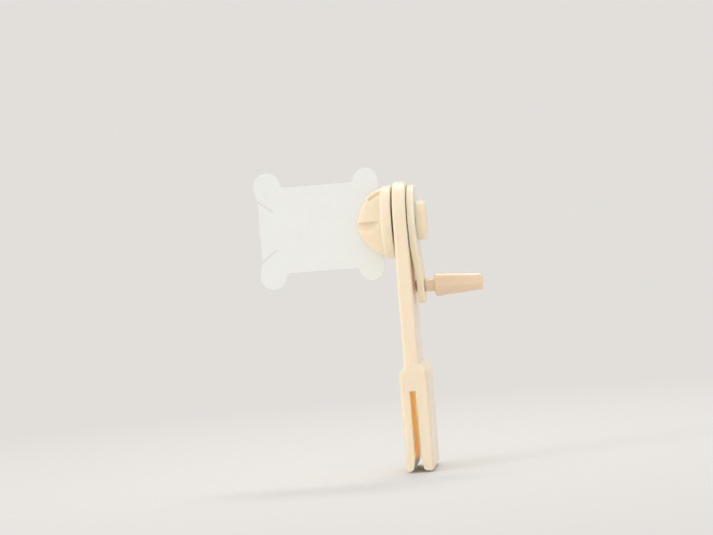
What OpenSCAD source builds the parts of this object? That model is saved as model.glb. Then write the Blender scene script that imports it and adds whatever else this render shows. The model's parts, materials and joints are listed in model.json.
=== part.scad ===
// Floss bobbin winder that pushes onto the edge of a storage box.
// X runs along the axle, with the crank at +X and the bobbin at -X, Z runs up the upright.
// The origin is the middle of the closed end of the fork's slot. Sizes are in millimetres.

/* [Upright] */
// Height from the fork's tips to the top of the round head
upright_h = 85; // [75:0.5:100]
// Thickness of the head and the top of the blade, along the axle
blade_t = 3.9; // [3:0.1:6]
// Thickness of the blade at the fork's shoulders
blade_foot_t = 4.3; // [3.2:0.1:6.5]
// Depth of the blade from front to back, which is also the head's diameter
blade_d = 23.6; // [20:0.2:28]
// Radius of the blade's and the fork's long edges
edge_r = 0.8; // [0.3:0.1:1.2]

/* [Fork] */
// Distance from the slot's middle to the fork's side below the bobbin
fork_in_w = 3.85; // [3.2:0.05:5]
// Distance from the slot's middle to the fork's side below the crank
fork_out_w = 4.6; // [3.6:0.05:6]
// Distance that the fork stands out past the blade, in front and behind
fork_proud = 0.15; // [0.1:0.05:0.3]
// Distance that each side of the fork draws in at the tips
fork_draft = 0.15; // [0.05:0.05:0.5]
// Height of the fork from its tips to the foot of its round shoulders
fork_h = 27.5; // [25:0.5:34]
// Radius of the shoulder below the bobbin
shoulder_in_r = 3.2; // [2.4:0.1:3.8]
// Radius of the shoulder below the crank
shoulder_out_r = 4.4; // [3:0.1:4.6]
// Radius of the outer corner of each tip
tip_r = 0.9; // [0.4:0.1:1.4]
// Height of the slot that takes the edge of a box
slot_h = 23.5; // [18:0.5:24]
// Width of the slot at its closed end
slot_w = 2.0; // [1.4:0.1:3]
// Width of the slot where the prongs grip
slot_grip_w = 1.7; // [1.2:0.1:2.4]
// Width of the slot's flared mouth
slot_mouth_w = 3.2; // [2.6:0.1:3.6]
// Height of the flared mouth
slot_mouth_h = 4.5; // [2:0.5:8]
// Distance of the grip rib below the closed end of the slot
grip_rib_drop = 7.7; // [4:0.1:14]
// Radius of the grip rib on one wall of the slot
grip_rib_r = 0.35; // [0.2:0.05:0.5]
// Distance that the rib stops short of the fork's front and back
grip_rib_short = 0.15; // [0.1:0.05:0.5]

/* [Axle] */
// Diameter of the journal that turns in the blade
journal_d = 6.0; // [5:0.1:8]
// Radial clearance of the journal in its bore
journal_gap = 0.05; // [0.02:0.01:0.1]
// Diameter of the thrust rings on both sides of the blade
thrust_d = 9.0; // [8.6:0.1:12]
// End play between the blade and each thrust ring
end_play = 0.1; // [0.05:0.01:0.2]
// Side of the square that drives the crank
drive_w = 4.0; // [3.4:0.1:4.2]
// Clearance on each side of the square
drive_gap = 0.04; // [0.02:0.01:0.08]
// Distance that the square stops short of the hub's face, under the cap
drive_short = 0.1; // [0.05:0.05:0.4]
// Diameter of the stub that the hub cap is pushed onto
stub_d = 3.0; // [2:0.1:3.2]
// Length of the stub past the crank's hub
stub_l = 1.7; // [1:0.1:2]

/* [Bobbin holder] */
// Diameter of the flange
flange_d = 21.7; // [20:0.1:26]
// Thickness of the flange
flange_t = 3.3; // [2:0.1:4]
// Gap between the blade and the flange
flange_gap = 0.55; // [0.3:0.05:1]
// Radius of the flange's rim beside the jaws
flange_out_rim_r = 1.2; // [0.6:0.1:1.4]
// Radius of the flange's rim beside the blade
flange_in_rim_r = 0.5; // [0.2:0.1:0.6]
// Radius of the jaws, seen from the front
jaw_r = 9.8; // [9.2:0.1:10]
// Distance of the jaws' centre behind the flange's face
jaw_inset = 2.6; // [1.5:0.1:2.8]
// Height of a jaw's crown above the card
jaw_crown = 4.6; // [4.2:0.1:5.6]
// Height that a jaw's crown stands above its rim
jaw_crown_rise = 0.9; // [0.4:0.1:1.4]
// Radius of a jaw's rounded rim
jaw_rim_r = 1.4; // [0.8:0.1:1.6]
// Angle that the lip runs round a jaw, from straight above its centre
lip_sweep = 41; // [30:1:60]
// Distance from the lip's foot to the jaw's rim
lip_setback = 1.0; // [0.8:0.1:1.2]
// Distance that the lip stands out past the jaw's rim
lip_out = 0.7; // [0.5:0.1:0.8]
// Thickness of the lip
lip_t = 1.0; // [0.8:0.1:1.2]
// Flare of the lip away from the card
lip_angle = 35; // [20:1:40]
// Height of the middle of the lip's root above the card
lip_root_h = 0.8; // [0.7:0.05:1.2]
// Radius of the scoop on each jaw
scoop_r = 3.9; // [3.2:0.1:4.4]
// Distance from the axis to the scoop's straight wall
scoop_rise = 0.6; // [0:0.1:1]
// Distance from the flange's face to the scoop's round end
scoop_setback = 0.4; // [0.3:0.1:2]
// Thickness left under the scoop
scoop_floor = 2.6; // [1.8:0.1:3.2]

/* [Crank] */
// Distance from the axle to the knob's axis
crank_r = 19.5; // [18:0.5:24]
// Diameter of the crank's hub
hub_d = 21.3; // [18:0.1:24]
// Diameter of the arm's round end
arm_end_d = 10.4; // [8:0.1:12]
// Thickness of the hub and the arm
arm_t = 2.0; // [1.8:0.1:3]
// Gap between the blade and the crank's hub
hub_gap = 0.3; // [0.25:0.05:0.8]
// Distance that the arm's end is set outwards from the hub
arm_lean = 0.9; // [0.8:0.1:2]
// Distance from the axle down to the start of the lean
hub_flat = 7.7; // [7:0.1:9]
// Distance from the knob's axis up to the end of the lean
end_flat = 2.6; // [2.4:0.1:5]

/* [Hub cap] */
// Diameter of the cap on the crank's hub
cap_d = 11.7; // [9:0.1:14]
// Height of the cap
cap_h = 3.0; // [2.4:0.1:4]
// Radius of the cap's rounded rim
cap_rim_r = 1.2; // [0.5:0.1:1.6]
// Radial clearance of the stub in the cap
stub_gap = 0.02; // [0.01:0.01:0.05]

/* [Knob] */
// Length of the knob without its neck
knob_l = 14.4; // [12:0.1:20]
// Diameter of the knob at its neck end
knob_d = 7.0; // [6:0.1:9]
// Diameter of the knob at its outer end
knob_end_d = 4.9; // [4.6:0.1:8]
// Radius of the knob's rounded rims
knob_rim_r = 0.6; // [0.3:0.1:1]
// Radius of the knob's domed outer face
knob_dome_r = 14; // [8:0.5:30]
// Diameter of the neck
neck_d = 3.8; // [3.6:0.1:5]
// Length of the neck
neck_l = 2.8; // [1:0.1:4]
// Diameter of the stem that turns in the arm
stem_d = 3.0; // [2.4:0.1:3.2]
// Radial clearance of the stem in the arm
stem_gap = 0.05; // [0.02:0.01:0.1]
// Axial clearance of the neck and of the stem's head
stem_play = 0.12; // [0.05:0.01:0.2]
// Width of the barb around the stem's head
barb_w = 0.4; // [0.2:0.05:0.6]
// Height of the stem's head
barb_h = 0.7; // [0.4:0.05:0.8]
// Width of the slit that lets the stem's head spring in
stem_slit_w = 0.7; // [0.4:0.1:1]
// Depth of that slit past the head
stem_slit_l = 1.2; // [0.6:0.1:1.6]

/* [Card bobbin] */
// Width of the card along the axle
card_w = 37.2; // [34:0.1:44]
// Height of the card over its outer lobes
card_h = 34.8; // [32:0.1:40]
// Height of the card over the lobes beside the flange
card_inner_h = 33.5; // [30:0.1:38]
// Height of the waist that the thread is wound on
waist_h = 25.6; // [22:0.1:28]
// Thickness of the card
card_t = 0.8; // [0.5:0.1:1.2]
// Width of an outer lobe
lobe_w = 8.0; // [6:0.1:9]
// Width of an inner lobe
inner_lobe_w = 7.4; // [6:0.1:9]
// Distance that the outer lobes stand out past the straight outer edge
lobe_out = 0.9; // [0.3:0.1:1.5]
// Radius of the fillet between a lobe and the waist
lobe_fillet_r = 0.9; // [0.3:0.1:1.5]
// Gap between the card and the flange
card_flange_gap = 0.6; // [0.3:0.1:1.5]
// Clearance between the card and each jaw
card_jaw_gap = 0.12; // [0.05:0.01:0.3]
// Diameter of the ring hole at the inner end of the card
ring_hole_d = 6.0; // [4:0.1:7]
// Length of the thread slits
slit_l = 5.6; // [3:0.1:7]
// Width of the thread slits
slit_w = 0.45; // [0.3:0.05:0.8]
// Slope of the thread slits
slit_angle = 36; // [25:1:50]
// Distance between the mouths of the two thread slits
slit_spread = 18.0; // [14:0.1:20]

/* [Hidden] */
$fn = 96;
cream = [0.96, 0.90, 0.79];
card_white = [0.97, 0.97, 0.95];
cut_margin = 1;

// Heights of the upright, from the closed end of the slot
tip_z = -slot_h;
shoulder_foot_z = tip_z + fork_h;
head_r = blade_d / 2;
head_rim_r = 0.85 * edge_r;
fork_d = blade_d + 2 * fork_proud;
axle_z = tip_z + upright_h - head_r;
grip_z = tip_z + slot_mouth_h;
blade_taper = atan((blade_foot_t - blade_t) / 2 / (axle_z - shoulder_foot_z));
prong_taper = atan(fork_draft / (fork_h - tip_r));
grip_rib_share = grip_rib_drop / (slot_h - slot_mouth_h);
grip_rib_x = (slot_w + (slot_grip_w - slot_w) * grip_rib_share) / 2;

// Stations along the axle
blade_x = blade_t / 2;
thrust_x = blade_x + end_play;
flange_in_x = -(blade_x + flange_gap);
flange_out_x = flange_in_x - flange_t;
hub_in_x = blade_x + hub_gap;
hub_out_x = hub_in_x + arm_t;
arm_in_x = hub_in_x + arm_lean;
arm_out_x = hub_out_x + arm_lean;
stub_end_x = hub_out_x + stub_l;
bore_d = journal_d + 2 * journal_gap;
drive_end_x = hub_out_x - drive_short;

// Jaws
card_slot_w = card_t + 2 * card_jaw_gap;
jaw_x = flange_out_x + jaw_inset;
jaw_rim_c_r = jaw_r - jaw_rim_r;
jaw_dome_r = (pow(jaw_r, 2) + pow(jaw_crown_rise, 2)) / (2 * jaw_crown_rise);
jaw_dome_y = card_slot_w / 2 + jaw_crown - jaw_dome_r;
jaw_rim_y = jaw_dome_y + sqrt(pow(jaw_dome_r - jaw_rim_r, 2) - pow(jaw_rim_c_r, 2));
jaw_touch_r = jaw_rim_c_r * jaw_dome_r / (jaw_dome_r - jaw_rim_r);
lip_lap = 2;
scoop_y = card_slot_w / 2 + scoop_floor + scoop_r;
scoop_x = flange_out_x - scoop_setback - scoop_r;

// Knob
knob_z = axle_z - crank_r;
stem_bore_d = stem_d + 2 * stem_gap;
neck_x = arm_out_x + stem_play;
knob_x = neck_x + neck_l;
knob_end_x = knob_x + knob_l;
head_out_x = arm_in_x - stem_play;
head_in_x = head_out_x - barb_h;

// Card
card_in_x = flange_out_x - card_flange_gap;
card_out_x = card_in_x - card_w;

// Rectangle about the origin with its four corners rounded
module rounded_rect(w, h, r) {
  square([w - 2 * r, h], center = true);
  square([w, h - 2 * r], center = true);
  for (sx = [-1, 1], sy = [-1, 1])
    translate([sx * (w / 2 - r), sy * (h / 2 - r)]) circle(r);
}

// Solid of revolution about the X axis at height z, from a profile of radius and X station
module turned(z) {
  translate([0, 0, z]) rotate([0, 90, 0]) rotate_extrude() children();
}

// Half profile of a disc between two stations, with a rounded rim at each
module disc_profile(r, x0, x1, rim0, rim1) {
  translate([0, x0]) square([r - rim0, rim0]);
  translate([0, x0 + rim0]) square([r, x1 - x0 - rim0 - rim1]);
  translate([0, x1 - rim1]) square([r - rim1, rim1]);
  translate([r - rim0, x0 + rim0]) circle(rim0);
  translate([r - rim1, x1 - rim1]) circle(rim1);
}

// Plate in the XZ plane, centred on Y
module front_plate(depth) {
  rotate([90, 0, 0]) linear_extrude(depth, center = true) children();
}

// Front outline of the fork with its round shoulders and rounded tips
module fork_outline() {
  straight_z = tip_z + tip_r;
  tip_in_x = fork_draft - fork_in_w;
  tip_out_x = fork_out_w - fork_draft;
  in_x = shoulder_in_r - fork_in_w;
  out_x = fork_out_w - shoulder_out_r;
  polygon([
    [-fork_in_w, shoulder_foot_z], [fork_out_w, shoulder_foot_z],
    [tip_out_x, straight_z], [tip_in_x, straight_z]
  ]);
  translate([in_x, shoulder_foot_z]) circle(shoulder_in_r);
  translate([out_x, shoulder_foot_z]) intersection() {
    circle(shoulder_out_r);
    square(shoulder_out_r);
  }
  polygon([
    [in_x, shoulder_foot_z], [in_x, shoulder_foot_z + shoulder_in_r],
    [out_x, shoulder_foot_z + shoulder_out_r], [out_x, shoulder_foot_z]
  ]);
  translate([tip_in_x + tip_r, tip_z]) square([tip_out_x - tip_in_x - 2 * tip_r, 2 * tip_r]);
  for (x = [tip_in_x + tip_r, tip_out_x - tip_r])
    translate([x, straight_z]) circle(tip_r);
}

// Slot between the prongs, which narrows to its grip and then flares
module slot_outline() {
  polygon([
    [-slot_w / 2, 0], [slot_w / 2, 0],
    [slot_grip_w / 2, grip_z], [slot_mouth_w / 2, tip_z],
    [slot_mouth_w / 2, tip_z - cut_margin], [-slot_mouth_w / 2, tip_z - cut_margin],
    [-slot_mouth_w / 2, tip_z], [-slot_grip_w / 2, grip_z]
  ]);
}

// Bar with rounded edges whose side at x leans outwards from height z, by an angle
module leaning_bar(x, z, lean, below, above, depth) {
  side = sign(x);
  bar_w = 4 * abs(x);
  translate([x, 0, z])
    rotate([0, side * lean, 0])
      translate([-side * bar_w / 2, 0, -below])
        linear_extrude(below + above) rounded_rect(bar_w, depth, edge_r);
}

// Forked foot, with its long outer edges rounded
module fork() {
  below = fork_h + cut_margin;
  above = max(shoulder_in_r, shoulder_out_r) + cut_margin;
  intersection() {
    front_plate(fork_d + 2 * cut_margin) difference() {
      fork_outline();
      slot_outline();
    }
    leaning_bar(fork_out_w, shoulder_foot_z, prong_taper, below, above, fork_d);
    leaning_bar(-fork_in_w, shoulder_foot_z, prong_taper, below, above, fork_d);
  }
}

// Blade that thickens from the head down to the fork
module blade() {
  below = axle_z - shoulder_foot_z;
  intersection() {
    translate([0, 0, shoulder_foot_z]) linear_extrude(below)
      square([2 * blade_foot_t, blade_d + 2 * cut_margin], center = true);
    leaning_bar(blade_x, axle_z, -blade_taper, below + cut_margin, cut_margin, blade_d);
    leaning_bar(-blade_x, axle_z, -blade_taper, below + cut_margin, cut_margin, blade_d);
  }
}

// One moulding: forked foot, blade and round bearing head
module upright() {
  color(cream) difference() {
    union() {
      fork();
      blade();
      turned(axle_z) disc_profile(head_r, -blade_x, blade_x, head_rim_r, head_rim_r);
      translate([grip_rib_x, 0, -grip_rib_drop]) rotate([90, 0, 0])
        cylinder(r = grip_rib_r, h = fork_d - 2 * grip_rib_short, center = true);
    }
    translate([0, 0, axle_z]) rotate([0, 90, 0])
      cylinder(d = bore_d, h = blade_t + 2 * cut_margin, center = true);
  }
}

// Half section of a jaw: a crowned dome that runs into a rounded rim, radius across and height up
module jaw_profile() {
  slot_y = card_slot_w / 2;
  intersection() {
    translate([0, jaw_dome_y]) circle(jaw_dome_r);
    translate([0, slot_y]) square([jaw_touch_r, jaw_crown]);
  }
  translate([0, slot_y]) square([jaw_r, jaw_rim_y - slot_y]);
  translate([jaw_rim_c_r, jaw_rim_y]) circle(jaw_rim_r);
}

// Section of the lip: a flat bar, flared away from the card
module lip_profile() {
  along = [cos(lip_angle), sin(lip_angle)];
  across = [-sin(lip_angle), cos(lip_angle)] * lip_t / 2;
  root = [jaw_r - lip_setback - lip_t / 2, card_slot_w / 2 + lip_root_h];
  reach = (jaw_r + lip_out + across[0] - root[0]) / along[0];
  crest = root + reach * along;
  polygon([root + across, root - across, crest - across, crest + across]);
}

// Lip that runs from the flange round the upper side of the front jaw
module lip() {
  reach = jaw_r + lip_out + cut_margin;
  intersection() {
    rotate([0, 0, 90]) rotate_extrude(angle = lip_sweep + lip_lap) lip_profile();
    translate([-reach - jaw_inset + flange_out_rim_r / 2, 0, 0]) cube(reach);
  }
}

// Scoop beside the axis, with one straight wall and a round end next to the flange
module scoop() {
  wall_z = axle_z + scoop_rise;
  intersection() {
    translate([scoop_x, -scoop_y, wall_z]) {
      sphere(scoop_r);
      rotate([0, -90, 0]) cylinder(r = scoop_r, h = 2 * jaw_r);
    }
    translate([scoop_x - 2 * jaw_r, -scoop_y - scoop_r, wall_z - scoop_r])
      cube([2 * jaw_r + scoop_r, 2 * scoop_r, scoop_r]);
  }
}

// Front jaw, half a dome with a flared lip at the top and a scoop along the axis
module jaw() {
  difference() {
    translate([jaw_x, 0, axle_z]) rotate([90, 0, 0]) {
      difference() {
        rotate([0, 0, 90]) rotate_extrude(angle = 180) jaw_profile();
        rotate([0, 0, 90 - lip_sweep]) rotate_extrude(angle = 2 * lip_sweep)
          translate([jaw_r - lip_setback, 0]) square([lip_setback + cut_margin, 2 * jaw_crown]);
      }
      lip();
    }
    scoop();
  }
}

// One moulding: axle, flange and the two jaws that grip a bobbin card
module bobbin_holder() {
  color(cream) {
    turned(axle_z) {
      disc_profile(flange_d / 2, flange_out_x, flange_in_x, flange_out_rim_r, flange_in_rim_r);
      translate([0, flange_out_x + flange_t / 2])
        square([thrust_d / 2, -thrust_x - flange_out_x - flange_t / 2]);
      translate([0, -thrust_x]) square([journal_d / 2, 2 * thrust_x]);
      translate([0, thrust_x]) square([stub_d / 2, stub_end_x - thrust_x]);
    }
    translate([0, -drive_w / 2, axle_z - drive_w / 2])
      cube([drive_end_x, drive_w, drive_w]);
    jaw();
    translate([0, 0, axle_z]) rotate([180, 0, 0]) translate([0, 0, -axle_z]) jaw();
  }
}

// Outline of the crank: a round hub and a smaller round end joined by tangents
module crank_outline() {
  hub_r = hub_d / 2;
  end_r = arm_end_d / 2;
  slope = asin((hub_r - end_r) / crank_r);
  out = [cos(slope), -sin(slope)];
  in = [-cos(slope), -sin(slope)];
  hub_c = [0, axle_z];
  end_c = [0, knob_z];
  translate(hub_c) circle(hub_r);
  translate(end_c) circle(end_r);
  polygon([hub_c + hub_r * out, end_c + end_r * out, end_c + end_r * in, hub_c + hub_r * in]);
}

// Crank whose arm is set outwards at the knob, driven by the axle's square
module crank_arm() {
  lean_top_z = axle_z - hub_flat;
  lean_foot_z = knob_z + end_flat;
  top_z = axle_z + hub_d / 2 + cut_margin;
  foot_z = knob_z - arm_end_d / 2 - cut_margin;
  drive_bore_w = drive_w + 2 * drive_gap;
  color(cream) difference() {
    union() {
      intersection() {
        rotate([90, 0, 90]) linear_extrude(arm_out_x + cut_margin) crank_outline();
        front_plate(hub_d + 2 * cut_margin) polygon([
          [hub_in_x, top_z], [hub_out_x, top_z], [hub_out_x, lean_top_z],
          [arm_out_x, lean_foot_z], [arm_out_x, foot_z],
          [arm_in_x, foot_z], [arm_in_x, lean_foot_z], [hub_in_x, lean_top_z]
        ]);
      }
      turned(axle_z) translate([0, thrust_x])
        square([thrust_d / 2, hub_in_x - thrust_x + arm_t / 2]);
    }
    translate([0, -drive_bore_w / 2, axle_z - drive_bore_w / 2])
      cube([hub_out_x + cut_margin, drive_bore_w, drive_bore_w]);
    translate([0, 0, knob_z]) rotate([0, 90, 0])
      cylinder(d = stem_bore_d, h = arm_out_x + cut_margin);
  }
}

// Round cap pushed onto the axle's stub, which holds the crank on
module hub_cap() {
  color(cream) turned(axle_z) difference() {
    union() {
      translate([0, hub_out_x]) square([cap_d / 2, cap_h - cap_rim_r]);
      translate([0, hub_out_x]) square([cap_d / 2 - cap_rim_r, cap_h]);
      translate([cap_d / 2 - cap_rim_r, hub_out_x + cap_h - cap_rim_r]) circle(cap_rim_r);
    }
    translate([0, hub_out_x - cut_margin])
      square([stub_d / 2 + stub_gap, stub_l + stub_gap + cut_margin]);
  }
}

// Half section of the knob with its neck, stem and barbed head
module knob_profile() {
  neck_r = knob_d / 2;
  end_r = knob_end_d / 2;
  stem_r = stem_d / 2;
  intersection() {
    union() {
      polygon([
        [0, knob_x], [neck_r - knob_rim_r, knob_x], [neck_r, knob_x + knob_rim_r],
        [end_r, knob_end_x - knob_rim_r], [end_r - knob_rim_r, knob_end_x], [0, knob_end_x]
      ]);
      translate([neck_r - knob_rim_r, knob_x + knob_rim_r]) circle(knob_rim_r);
      translate([end_r - knob_rim_r, knob_end_x - knob_rim_r]) circle(knob_rim_r);
    }
    translate([0, knob_end_x - knob_dome_r]) circle(knob_dome_r);
    translate([0, knob_x]) square([neck_r, knob_l]);
  }
  translate([0, neck_x]) square([neck_d / 2, knob_x - neck_x + knob_rim_r]);
  translate([0, head_in_x]) square([stem_r, neck_x - head_in_x + knob_rim_r]);
  polygon([
    [0, head_in_x], [stem_r, head_in_x], [stem_r + barb_w, head_out_x - barb_h / 3],
    [stem_r + barb_w, head_out_x], [0, head_out_x]
  ]);
}

// Tapered grip that turns freely in the arm, snapped in by its split head
module crank_knob() {
  slit_end_x = head_out_x + stem_slit_l;
  color(cream) difference() {
    turned(knob_z) knob_profile();
    translate([head_in_x - cut_margin, -stem_slit_w / 2, knob_z - stem_d])
      cube([slit_end_x - head_in_x + cut_margin, stem_slit_w, 2 * stem_d]);
  }
}

// Round lobes at both ends of one end of the card, from one station inwards
module lobe_pair(w, h) {
  for (s = [-1, 1])
    translate([w / 2, s * (h - w) / 2]) circle(w / 2);
}

// Flank of an outer lobe, tangent to it and ending at the mouth of a thread slit
module lobe_flank() {
  lobe_r = lobe_w / 2;
  lobe_c = [card_out_x + lobe_r, card_h / 2 - lobe_r];
  mouth = [card_out_x + lobe_out, slit_spread / 2];
  away = mouth - lobe_c;
  touch = atan2(away[1], away[0]) - acos(lobe_r / norm(away));
  polygon([lobe_c, lobe_c + lobe_r * [cos(touch), sin(touch)], mouth, [lobe_c[0], mouth[1]]]);
}

// Fillet in a square inner corner at the origin, which runs into both of its sides
module corner_fill(r) {
  difference() {
    translate([-r, -r]) square(2 * r);
    translate([r, r]) circle(r);
  }
}

// Outline of the card about the axle, with four lobes and a straight waist
module card_outline() {
  waist_out_x = card_out_x + lobe_w;
  waist_in_x = card_in_x - inner_lobe_w;
  edge_x = card_out_x + lobe_out;
  translate([card_out_x, 0]) lobe_pair(lobe_w, card_h);
  translate([waist_in_x, 0]) lobe_pair(inner_lobe_w, card_inner_h);
  translate([edge_x, -slit_spread / 2]) square([card_in_x - edge_x, slit_spread]);
  translate([card_out_x + lobe_w / 2, -(card_h - lobe_w) / 2]) square([lobe_w / 2, card_h - lobe_w]);
  translate([waist_in_x, -(card_inner_h - inner_lobe_w) / 2])
    square([inner_lobe_w, card_inner_h - inner_lobe_w]);
  translate([card_out_x + lobe_w / 2, -waist_h / 2])
    square([card_in_x - card_out_x - (lobe_w + inner_lobe_w) / 2, waist_h]);
  for (sz = [0, 1]) mirror([0, sz]) {
    lobe_flank();
    translate([waist_out_x, waist_h / 2]) corner_fill(lobe_fillet_r);
    translate([waist_in_x, waist_h / 2]) mirror([1, 0]) corner_fill(lobe_fillet_r);
  }
}

// Blank bobbin card held in the jaws
module card_bobbin() {
  hole_x = card_in_x - inner_lobe_w / 2;
  color(card_white) translate([0, 0, axle_z]) front_plate(card_t) difference() {
    card_outline();
    translate([hole_x, 0]) circle(d = ring_hole_d);
    for (sz = [0, 1]) mirror([0, sz])
      translate([card_out_x + lobe_out, slit_spread / 2]) rotate(-slit_angle)
        translate([-cut_margin, -slit_w / 2]) square([slit_l + cut_margin, slit_w]);
  }
}

upright();
bobbin_holder();
crank_arm();
hub_cap();
crank_knob();
card_bobbin();
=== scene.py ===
"""Looks of the floss bobbin winder: cream plastic, a white card, a pale floor and soft light."""
import json
import math

import bmesh
import bpy
from mathutils import Matrix, Vector

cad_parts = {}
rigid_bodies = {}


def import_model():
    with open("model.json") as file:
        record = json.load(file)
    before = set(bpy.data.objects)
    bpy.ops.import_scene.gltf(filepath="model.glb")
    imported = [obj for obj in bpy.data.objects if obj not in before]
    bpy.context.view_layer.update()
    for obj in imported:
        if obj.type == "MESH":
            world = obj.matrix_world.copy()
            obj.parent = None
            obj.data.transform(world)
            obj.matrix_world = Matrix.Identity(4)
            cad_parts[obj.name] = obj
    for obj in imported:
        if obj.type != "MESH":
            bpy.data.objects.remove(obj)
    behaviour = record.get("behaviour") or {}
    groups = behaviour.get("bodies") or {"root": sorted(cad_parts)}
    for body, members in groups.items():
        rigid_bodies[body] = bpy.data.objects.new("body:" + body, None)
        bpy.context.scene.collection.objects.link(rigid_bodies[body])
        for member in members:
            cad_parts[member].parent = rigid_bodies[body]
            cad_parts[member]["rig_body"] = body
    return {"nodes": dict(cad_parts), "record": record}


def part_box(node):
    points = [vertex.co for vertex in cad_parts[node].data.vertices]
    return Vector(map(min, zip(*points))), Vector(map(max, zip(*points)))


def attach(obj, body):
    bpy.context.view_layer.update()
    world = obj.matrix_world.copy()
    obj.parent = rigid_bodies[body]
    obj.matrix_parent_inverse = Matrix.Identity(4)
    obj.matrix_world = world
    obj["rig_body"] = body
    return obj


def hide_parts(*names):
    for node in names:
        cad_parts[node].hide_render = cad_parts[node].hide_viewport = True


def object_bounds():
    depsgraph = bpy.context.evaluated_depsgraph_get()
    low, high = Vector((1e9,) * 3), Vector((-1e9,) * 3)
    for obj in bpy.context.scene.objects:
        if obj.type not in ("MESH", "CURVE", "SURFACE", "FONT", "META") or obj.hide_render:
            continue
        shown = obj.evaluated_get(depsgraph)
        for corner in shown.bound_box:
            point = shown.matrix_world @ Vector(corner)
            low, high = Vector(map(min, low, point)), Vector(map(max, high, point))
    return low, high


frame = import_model()
cad_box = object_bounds()
MM = 0.001
X, Y, Z = 0, 1, 2


# Camera at the photograph's viewing angle

TURN = math.radians(5.8)
TILT = math.radians(-1.37)
LEAN = math.radians(-4.65)
DISTANCE = 800 * MM
LENS, SENSOR_WIDTH = 135.96, 36
NEAREST, FARTHEST = 0.01, 50
AIM = Vector((-14.79, 0, 37.10)) * MM


def photo_camera():
    """Camera in front of the winder, a little towards the crank, leaning as the photograph does."""
    level_share = math.cos(TILT)
    ahead = Vector((
        -math.sin(TURN) * level_share, math.cos(TURN) * level_share, math.sin(TILT),
    ))
    level = Vector((math.cos(TURN), math.sin(TURN), 0))
    upward = level.cross(ahead)
    right = math.cos(LEAN) * level + math.sin(LEAN) * upward
    up = math.cos(LEAN) * upward - math.sin(LEAN) * level
    data = bpy.data.cameras.new("photo_camera")
    data.lens, data.sensor_width = LENS, SENSOR_WIDTH
    data.clip_start, data.clip_end = NEAREST, FARTHEST
    camera = bpy.data.objects.new("photo_camera", data)
    bpy.context.scene.collection.objects.link(camera)
    turned = Matrix((right, up, -ahead)).transposed().to_4x4()
    camera.matrix_world = Matrix.Translation(AIM - ahead * DISTANCE) @ turned
    bpy.context.scene.camera = camera


# Parts of a material

def srgb(r, g, b):
    """A colour of a picture, 0 to 255, as Blender's linear colour."""
    def linear(c):
        c /= 255
        return c / 12.92 if c <= 0.04045 else ((c + 0.055) / 1.055) ** 2.4
    return linear(r), linear(g), linear(b), 1.0


def fill(tree, socket, value):
    """Links a socket to another one, or sets it to a value."""
    if isinstance(value, bpy.types.NodeSocket):
        tree.links.new(value, socket)
    else:
        socket.default_value = value


def add(tree, kind, inputs=None, **settings):
    """A node with its settings, and its inputs set to values or linked to sockets."""
    made = tree.nodes.new(kind)
    for name, value in settings.items():
        setattr(made, name, value)
    for name, value in (inputs or {}).items():
        fill(tree, made.inputs[name], value)
    return made


def math_of(tree, operation, a, b=0.0):
    """Result of one sum on two sockets or numbers."""
    return add(tree, "ShaderNodeMath", {0: a, 1: b}, operation=operation).outputs[0]


def times(tree, value, factor):
    """A value multiplied by a number or by another value."""
    return math_of(tree, "MULTIPLY", value, factor)


def spread(tree, value, limits, ends):
    """A value between two limits drawn out to two ends, and held at them."""
    return add(tree, "ShaderNodeMapRange", {
        "Value": value,
        "From Min": limits[0], "From Max": limits[1],
        "To Min": ends[0], "To Max": ends[1],
    }).outputs[0]


def rising(tree, value, limits, top=1.0):
    """0 up to the lower of two limits, rising to its top at the upper one."""
    return spread(tree, value, limits, (0.0, top))


def falling(tree, value, limits, top=1.0):
    """Its top up to the lower of two limits, falling to 0 at the upper one."""
    return spread(tree, value, limits, (top, 0.0))


def noise(tree, place, scale=1.0, detail=2.0, roughness=0.5):
    """Cloudy noise at a scale in features per metre."""
    return add(tree, "ShaderNodeTexNoise", {
        "Vector": place, "Scale": scale, "Detail": detail, "Roughness": roughness,
    }).outputs["Fac"]


def stretched(tree, place, size, turn=(0, 0, 0)):
    """Places for a pattern with its own number of features per metre along each axis."""
    return add(tree, "ShaderNodeMapping", {
        "Vector": place, "Scale": size, "Rotation": turn,
    }).outputs[0]


def axes_of(tree, place):
    """The three coordinates of a place."""
    return add(tree, "ShaderNodeSeparateXYZ", {0: place}).outputs


def mixed(tree, share, a, b):
    """Colour socket of a with a share of b; colour sockets are the mix node's third pair."""
    made = add(tree, "ShaderNodeMix", data_type="RGBA")
    for number, value in ((0, share), (6, a), (7, b)):
        fill(tree, made.inputs[number], value)
    return made.outputs[2]


def worn_edges(tree):
    """1 where a piece's edge was rounded, and 0 elsewhere."""
    return add(tree, "ShaderNodeAttribute", attribute_name="worn_edge").outputs["Fac"]


def new_material(name):
    """An empty node material with its shader, its output and its object coordinates."""
    material = bpy.data.materials.new(name)
    material.use_nodes = True
    tree = material.node_tree
    tree.nodes.clear()
    shader = add(tree, "ShaderNodeBsdfPrincipled")
    output = add(tree, "ShaderNodeOutputMaterial")
    tree.links.new(shader.outputs[0], output.inputs["Surface"])
    place = add(tree, "ShaderNodeTexCoord").outputs["Object"]
    return material, tree, shader, place


# Moulded cream plastic

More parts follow.
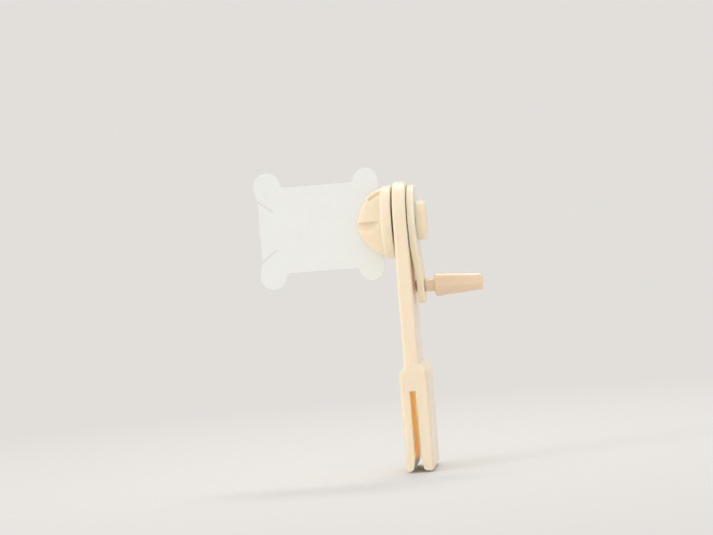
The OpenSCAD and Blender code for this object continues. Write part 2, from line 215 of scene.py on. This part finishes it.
CREAM = srgb(247, 232, 210)
CREAM_DEEP = srgb(241, 216, 183)
CREAM_PALE = srgb(251, 241, 223)
# Darker, more tan cream for the knob: painted shade, the same plastic darkened as if it sat in the
# blade's shade.
KNOB_SHADED_CREAM = srgb(233, 212, 186)
# Warmer cream painted on the slot's walls: a painted glow in place of light that shines through the
# prongs.
SLOT_PAINTED_GLOW = srgb(244, 218, 176)
PLASTIC_IOR = 1.49
SATIN, KNOB_GLOSS = 0.25, 0.6
MATT_ROUGHNESS, GLOSS_SMOOTHS = 0.36, 0.3
CLOUD_SCALE, CLOUD_RANGE = 70, (0.3, 0.7)
CLOUD_DEEPENS, CLOUD_ROUGHENS = 0.22, 0.08
STREAK_ALONG, STREAK_ACROSS, STREAK_RANGE = 30, 900, (0.45, 0.75)
STREAK_PALES, STREAK_HEIGHT = 0.08, 0.6
SCUFF_SIZE, SCUFF_TURN, SCUFF_RANGE = (60, 60, 2400), (0.5, 0.3, 0.8), (0.66, 0.72)
SCUFF_ROUGHENS, SCUFF_HEIGHT = 0.12, -0.5
EDGE_PALES, EDGE_SMOOTHS = 0.55, 0.08
GRAIN_SCALE, GRAIN_STRENGTH, GRAIN_DEPTH = 2600, 0.35, 0.012 * MM
PARTING_SIDE, PARTING_HEIGHT = (0.02 * MM, 0.07 * MM), 2.5


def reach(red, green, blue):
    """How far light of each colour scatters inside the plastic, given in millimetres."""
    return red * MM, green * MM, blue * MM, 1.0


OPEN_REACH = reach(1.6, 1.0, 0.5)
GAP_REACH = reach(20, 8, 3.5)
SLOT_REACH = reach(90, 13, 1.2)
SLOT_SIDE, SLOT_TOP = (1.02 * MM, 1.12 * MM), (-0.2 * MM, 0.15 * MM)
GAP_MIDDLE, GAP_SIDE = 2.05 * MM, (1.5 * MM, 1.6 * MM)
GAP_SIGHT, GAP_SAMPLES, GAP_OPENNESS = 8 * MM, 6, (0.15, 0.40)


def slot_walls(tree, place):
    """1 on the walls of the fork's slot, where light comes through the prongs and a painted warm
    glow is mixed into the cream.
    """
    x, _, z = axes_of(tree, place)
    between = falling(tree, math_of(tree, "ABSOLUTE", x), SLOT_SIDE)
    return times(tree, between, falling(tree, z, SLOT_TOP))


def crank_gap(tree, place):
    """1 in the narrow gap between the blade and the crank, and 0 in the open.

    Light comes into the gap mostly through the plastic. How open a spot is tells
    where the gap is narrow, so this follows the crank as it turns.
    """
    openness = add(
        tree, "ShaderNodeAmbientOcclusion", {"Distance": GAP_SIGHT}, samples=GAP_SAMPLES,
    ).outputs["AO"]
    narrow = falling(tree, openness, GAP_OPENNESS)
    from_middle = math_of(tree, "SUBTRACT", axes_of(tree, place)[X], GAP_MIDDLE)
    beside = falling(tree, math_of(tree, "ABSOLUTE", from_middle), GAP_SIDE)
    return times(tree, narrow, beside)


def plastic_colour(tree, cream, cloud, streaks, edge):
    """Cream with deeper clouds, pale flow streaks and pale worn edges."""
    colour = mixed(tree, rising(tree, cloud, CLOUD_RANGE, CLOUD_DEEPENS), cream, CREAM_DEEP)
    colour = mixed(tree, rising(tree, streaks, STREAK_RANGE, STREAK_PALES), colour, CREAM_PALE)
    return mixed(tree, times(tree, edge, EDGE_PALES), colour, CREAM_PALE)


def plastic_roughness(tree, gloss, cloud, scuffs, edge):
    """Smoother with more gloss and on worn edges, rougher in clouds and scuffs."""
    smoothest = MATT_ROUGHNESS - GLOSS_SMOOTHS * gloss
    rough = spread(tree, cloud, CLOUD_RANGE, (smoothest, smoothest + CLOUD_ROUGHENS))
    rough = math_of(tree, "ADD", rough, times(tree, scuffs, SCUFF_ROUGHENS))
    return math_of(tree, "SUBTRACT", rough, times(tree, edge, EDGE_SMOOTHS))


def plastic_height(tree, place, streaks, scuffs, parting):
    """Satin grain, scuffs, flow streaks and the low ridge of the mould's parting line."""
    grain = noise(tree, place, GRAIN_SCALE)
    height = math_of(tree, "ADD", grain, times(tree, scuffs, SCUFF_HEIGHT))
    height = math_of(tree, "ADD", height, times(tree, streaks, STREAK_HEIGHT))
    if parting is None:
        return height
    away = math_of(tree, "ABSOLUTE", axes_of(tree, place)[parting])
    return math_of(tree, "ADD", height, falling(tree, away, PARTING_SIDE, PARTING_HEIGHT))


def cream_plastic(
    name, flow, parting=None, cream=CREAM, gloss=SATIN, gapped=False, slotted=False,
):
    """Moulded cream plastic with flow streaks along one axis and a parting line across another.

    A gapped piece stands beside the crank's gap, and a slotted one has the fork's slot, with a
    painted glow on its walls.
    """
    material, tree, shader, place = new_material(name)
    cloud = noise(tree, place, CLOUD_SCALE, detail=3)
    streak_size = [STREAK_ACROSS] * 3
    streak_size[flow] = STREAK_ALONG
    streaks = noise(tree, stretched(tree, place, streak_size), detail=3, roughness=0.6)
    scuff_marks = noise(tree, stretched(tree, place, SCUFF_SIZE, SCUFF_TURN), detail=1)
    scuffs = rising(tree, scuff_marks, SCUFF_RANGE)
    edge = worn_edges(tree)
    colour = plastic_colour(tree, cream, cloud, streaks, edge)
    rough = plastic_roughness(tree, gloss, cloud, scuffs, edge)
    bump = add(tree, "ShaderNodeBump", {
        "Strength": GRAIN_STRENGTH, "Distance": GRAIN_DEPTH,
        "Height": plastic_height(tree, place, streaks, scuffs, parting),
    })
    scatter = OPEN_REACH
    if gapped:
        scatter = mixed(tree, crank_gap(tree, place), scatter, GAP_REACH)
    if slotted:
        slot = slot_walls(tree, place)
        # Painted glow: the slot's walls take a warmer cream for the light that comes through the
        # prongs.
        colour = mixed(tree, slot, colour, SLOT_PAINTED_GLOW)
        scatter = mixed(tree, slot, scatter, SLOT_REACH)
    shader.inputs["IOR"].default_value = PLASTIC_IOR
    shader.inputs["Specular IOR Level"].default_value = gloss
    shader.inputs["Subsurface Weight"].default_value = 1.0
    shader.inputs["Subsurface Scale"].default_value = 1.0
    shader.inputs["Subsurface Radius"].default_value = OPEN_REACH[:3]
    if gapped or slotted:
        tree.links.new(scatter, shader.inputs["Subsurface Radius"])
    tree.links.new(colour, shader.inputs["Base Color"])
    tree.links.new(rough, shader.inputs["Roughness"])
    tree.links.new(bump.outputs[0], shader.inputs["Normal"])
    return material


# White bobbin card

CARD_FACE = srgb(238, 239, 235)
CARD_SHADE = srgb(229, 230, 226)
CARD_CORE = srgb(220, 216, 207)
CARD_IOR = 1.45
MOTTLE_SCALE, MOTTLE_RANGE = 160, (0.35, 0.7)
MOTTLE_SHADES, MOTTLE_HEIGHT = 0.2, 0.6
FIBRE_SIZE, FIBRE_TURNS = (420, 900, 5200), (0.4, 1.3, 2.5)
FIBRE_SHADE_RANGE, FIBRE_SHADES = (0.6, 0.8), 0.5
FIBRE_ROUGH_RANGE, CARD_ROUGHNESS = (0.4, 0.8), (0.58, 0.72)
FIBRE_STRENGTH, FIBRE_DEPTH = 0.3, 0.012 * MM
PLY_SIZE, PLY_RANGE = (300, 9000, 300), (0.3, 0.7)
CUT_SHARE = 0.8


def pressed_fibres(tree, place):
    """Long fibres that lie over each other in several directions."""
    fibres = None
    for turn in FIBRE_TURNS:
        layer = noise(tree, stretched(tree, place, FIBRE_SIZE, (0, turn, 0)))
        fibres = layer if fibres is None else math_of(tree, "MAXIMUM", fibres, layer)
    return fibres


def white_card(name):
    """White bobbin card: pressed fibres on its faces, plies on its cut edges."""
    material, tree, shader, place = new_material(name)
    mottle = noise(tree, place, MOTTLE_SCALE, detail=4, roughness=0.6)
    fibres = pressed_fibres(tree, place)
    shade = rising(tree, mottle, MOTTLE_RANGE, MOTTLE_SHADES)
    colour = mixed(tree, shade, CARD_FACE, CARD_SHADE)
    shade = rising(tree, fibres, FIBRE_SHADE_RANGE, FIBRE_SHADES)
    colour = mixed(tree, shade, colour, CARD_SHADE)
    plies = noise(tree, stretched(tree, place, PLY_SIZE))
    core = mixed(tree, rising(tree, plies, PLY_RANGE), CARD_CORE, CARD_SHADE)
    colour = mixed(tree, times(tree, worn_edges(tree), CUT_SHARE), colour, core)
    rough = spread(tree, fibres, FIBRE_ROUGH_RANGE, CARD_ROUGHNESS)
    bump = add(tree, "ShaderNodeBump", {
        "Strength": FIBRE_STRENGTH, "Distance": FIBRE_DEPTH,
        "Height": math_of(tree, "ADD", fibres, times(tree, mottle, MOTTLE_HEIGHT)),
    })
    shader.inputs["IOR"].default_value = CARD_IOR
    tree.links.new(colour, shader.inputs["Base Color"])
    tree.links.new(rough, shader.inputs["Roughness"])
    tree.links.new(bump.outputs[0], shader.inputs["Normal"])
    return material


# Pieces

SHARP, FLAT, SMOOTH = math.radians(28), math.radians(0.3), math.radians(32)
HAIR, TINY = 0.002 * MM, 0.02 * MM
FORK_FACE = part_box("upright")[1].y - HAIR
FORK_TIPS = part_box("upright")[0].z + TINY
MOUTH_SIDE = 1.62 * MM
JOINTS = {joint["name"]: joint for joint in frame["record"]["behaviour"]["joints"]}
AXLE_Z = JOINTS["crank_turn"]["pos_m"][Z]
THRUST_RING = 4.8 * MM
CRANK_MIDDLE = 3 * MM
FORK_ROUNDING, MOUTH_ROUNDING = 0.10 * MM, 1.0 * MM
CRANK_ROUNDING, CARD_ROUNDING = 0.25 * MM, 0.05 * MM
FULL_SEGMENTS = 5


def fork_edge(edge):
    """True for an edge in the fork's front or back face, or at the tips of its prongs."""
    in_face = all(abs(v.co.y) > FORK_FACE for v in edge.verts)
    at_tips = all(v.co.z < FORK_TIPS for v in edge.verts)
    return in_face or at_tips


def mouth_edge(edge):
    """True for the long edges where the slot's flared mouth meets the prongs' tips."""
    return all(v.co.z < FORK_TIPS and abs(v.co.x) < MOUTH_SIDE for v in edge.verts)


def crank_edge(edge):
    """True for an edge of the crank that is clear of its low thrust ring."""
    from_axle = min(math.hypot(v.co.y, v.co.z - AXLE_Z) for v in edge.verts)
    on_inner_side = max(v.co.x for v in edge.verts) < CRANK_MIDDLE
    return not (on_inner_side and from_axle < THRUST_RING)


def any_edge(edge):
    """True for every edge."""
    return True


def round_off(shape, chosen, radius, segments):
    """Rounds the chosen sharp outward edges of a shape, and gives the rounding's faces."""
    sharp = [
        e for e in shape.edges
        if e.is_manifold and e.is_convex and e.calc_face_angle() > SHARP and chosen(e)
    ]
    return bmesh.ops.bevel(
        shape, geom=sharp, offset=radius, offset_type="OFFSET", segments=segments, profile=0.5,
        affect="EDGES", clamp_overlap=False, material=-1, loop_slide=True,
    )["faces"]


def soft_edged(node, radius, material, segments=3, chosen=any_edge, full=None):
    """A node's shape with its chosen sharp edges rounded and marked as worn.

    The edges that full names come first, with a radius of their own, and stay unmarked.
    """
    shape = bmesh.new()
    shape.from_mesh(frame["nodes"][node].data)
    bmesh.ops.remove_doubles(shape, verts=shape.verts, dist=TINY)
    bmesh.ops.dissolve_limit(shape, angle_limit=FLAT, verts=shape.verts, edges=shape.edges)
    if full:
        full_edges, full_radius = full
        round_off(shape, full_edges, full_radius, FULL_SEGMENTS)
    worn = shape.verts.layers.float.new("worn_edge")
    low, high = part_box(node)
    new_faces = set(round_off(shape, chosen, radius, segments))
    for vert in {v for face in new_faces for v in face.verts}:
        vert[worn] = float(new_faces.issuperset(vert.link_faces))
        vert.co.y = min(max(vert.co.y, low.y), high.y)
    bmesh.ops.dissolve_degenerate(shape, dist=TINY, edges=shape.edges)
    many_sided = [f for f in shape.faces if len(f.verts) > 4]
    bmesh.ops.triangulate(shape, faces=many_sided, ngon_method="EAR_CLIP")
    mesh = bpy.data.meshes.new("soft_" + node)
    shape.to_mesh(mesh)
    shape.free()
    mesh.shade_smooth()
    mesh.set_sharp_from_angle(angle=SMOOTH)
    mesh.materials.append(material)
    piece = bpy.data.objects.new("soft_" + node, mesh)
    bpy.context.scene.collection.objects.link(piece)
    normals = piece.modifiers.new("weighted_normals", "WEIGHTED_NORMAL")
    normals.keep_sharp = True
    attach(piece, frame["nodes"][node]["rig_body"])
    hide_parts(node)


def as_built(node, material):
    """A node that keeps its own shape and takes a finish."""
    frame["nodes"][node].material_slots[0].material = material


def make_winder():
    """Every piece of the winder with its own finish."""
    upright = cream_plastic("upright_plastic", flow=Z, parting=X, gapped=True, slotted=True)
    soft_edged(
        "upright", FORK_ROUNDING, upright,
        chosen=fork_edge, full=(mouth_edge, MOUTH_ROUNDING),
    )
    as_built("bobbin_holder", cream_plastic("holder_plastic", flow=X))
    crank = cream_plastic("crank_plastic", flow=Z, gapped=True)
    soft_edged("crank_arm", CRANK_ROUNDING, crank, chosen=crank_edge)
    as_built("hub_cap", cream_plastic("cap_plastic", flow=X))
    # The knob's deeper cream is painted shade, not a plastic of its own.
    knob = cream_plastic("knob_plastic", flow=X, parting=Y, cream=KNOB_SHADED_CREAM, gloss=KNOB_GLOSS)
    as_built("crank_knob", knob)
    card = white_card("bobbin_card")
    soft_edged("card_bobbin", CARD_ROUNDING, card, segments=2)


# Stage

FLOOR_COLOUR = srgb(222, 219, 215)
FLOOR_SEEN = srgb(226, 223, 219)
FLOOR_ROUGHNESS = 0.9
FLOOR_CLEAR = 0.5 * MM
FLOOR_RADIUS, FLOOR_SEGMENTS = 6.0, 96
FLOOR_FADE = (0.06, 0.30)
WHITE = (1.0, 1.0, 1.0, 1.0)
SKY, SKY_BY_CRANK = 1.0, 0.76
LAMP_AIM = Vector((-5, 0, 35)) * MM


def seen_rays(tree):
    """1 for rays of the camera, of reflections and through clear things, and 0 for the rest."""
    path = add(tree, "ShaderNodeLightPath").outputs
    seen = math_of(tree, "MAXIMUM", path["Is Camera Ray"], path["Is Glossy Ray"])
    return math_of(tree, "MAXIMUM", seen, path["Is Transmission Ray"])


def pale_floor():
    """A round pale floor under the fork's tips, which fades into the pale surround."""
    disc = bmesh.new()
    bmesh.ops.create_circle(disc, cap_ends=True, segments=FLOOR_SEGMENTS, radius=FLOOR_RADIUS)
    bmesh.ops.translate(disc, verts=disc.verts, vec=(0, 0, cad_box[0].z - FLOOR_CLEAR))
    mesh = bpy.data.meshes.new("pale_floor")
    disc.to_mesh(mesh)
    disc.free()
    material, tree, shader, place = new_material("pale_floor")
    shader.inputs["Base Color"].default_value = FLOOR_COLOUR
    shader.inputs["Roughness"].default_value = FLOOR_ROUGHNESS
    x, y, _ = axes_of(tree, place)
    out = math_of(tree, "SQRT", math_of(tree, "ADD", times(tree, x, x), times(tree, y, y)))
    share = times(tree, rising(tree, out, FLOOR_FADE), seen_rays(tree))
    plain = add(tree, "ShaderNodeEmission", {"Color": FLOOR_SEEN, "Strength": 1.0})
    blended = add(tree, "ShaderNodeMixShader", {
        0: share, 1: shader.outputs[0], 2: plain.outputs[0],
    })
    output = next(n for n in tree.nodes if n.type == "OUTPUT_MATERIAL")
    tree.links.new(blended.outputs[0], output.inputs["Surface"])
    mesh.materials.append(material)
    floor = bpy.data.objects.new("pale_floor", mesh)
    bpy.context.scene.collection.objects.link(floor)


def pale_surround():
    """A world that lights softly, least from the crank's side, and looks like the far floor."""
    world = bpy.data.worlds.new("pale_surround")
    bpy.context.scene.world = world
    world.use_nodes = True
    tree = world.node_tree
    tree.nodes.clear()
    towards_crank = axes_of(tree, add(tree, "ShaderNodeTexCoord").outputs["Generated"])[X]
    strength = spread(tree, towards_crank, (0.0, 1.0), (SKY, SKY_BY_CRANK))
    soft = add(tree, "ShaderNodeBackground", {"Color": WHITE, "Strength": strength})
    seen = add(tree, "ShaderNodeBackground", {"Color": FLOOR_SEEN, "Strength": 1.0})
    blended = add(tree, "ShaderNodeMixShader", {
        0: seen_rays(tree), 1: soft.outputs[0], 2: seen.outputs[0],
    })
    output = add(tree, "ShaderNodeOutputWorld")
    tree.links.new(blended.outputs[0], output.inputs["Surface"])


def soft_lamp(name, place, size, power):
    """A soft white lamp of a width and a height that faces the winder."""
    data = bpy.data.lights.new(name, "AREA")
    data.shape = "RECTANGLE"
    data.size, data.size_y = size
    data.energy = power
    lamp = bpy.data.objects.new(name, data)
    bpy.context.scene.collection.objects.link(lamp)
    lamp.location = place
    lamp.rotation_euler = (LAMP_AIM - Vector(place)).to_track_quat("-Z", "Y").to_euler()


photo_camera()
make_winder()
pale_floor()
pale_surround()
soft_lamp("key_lamp", place=(-0.82, -0.50, 0.52), size=(0.25, 0.70), power=1.2)
soft_lamp("top_lamp", place=(0.05, 0.45, 0.80), size=(0.30, 0.20), power=1.5)
soft_lamp("fill_lamp", place=(0.04, -1.00, 0.06), size=(0.60, 0.14), power=0.6)
bpy.context.scene.view_settings.view_transform = "Standard"
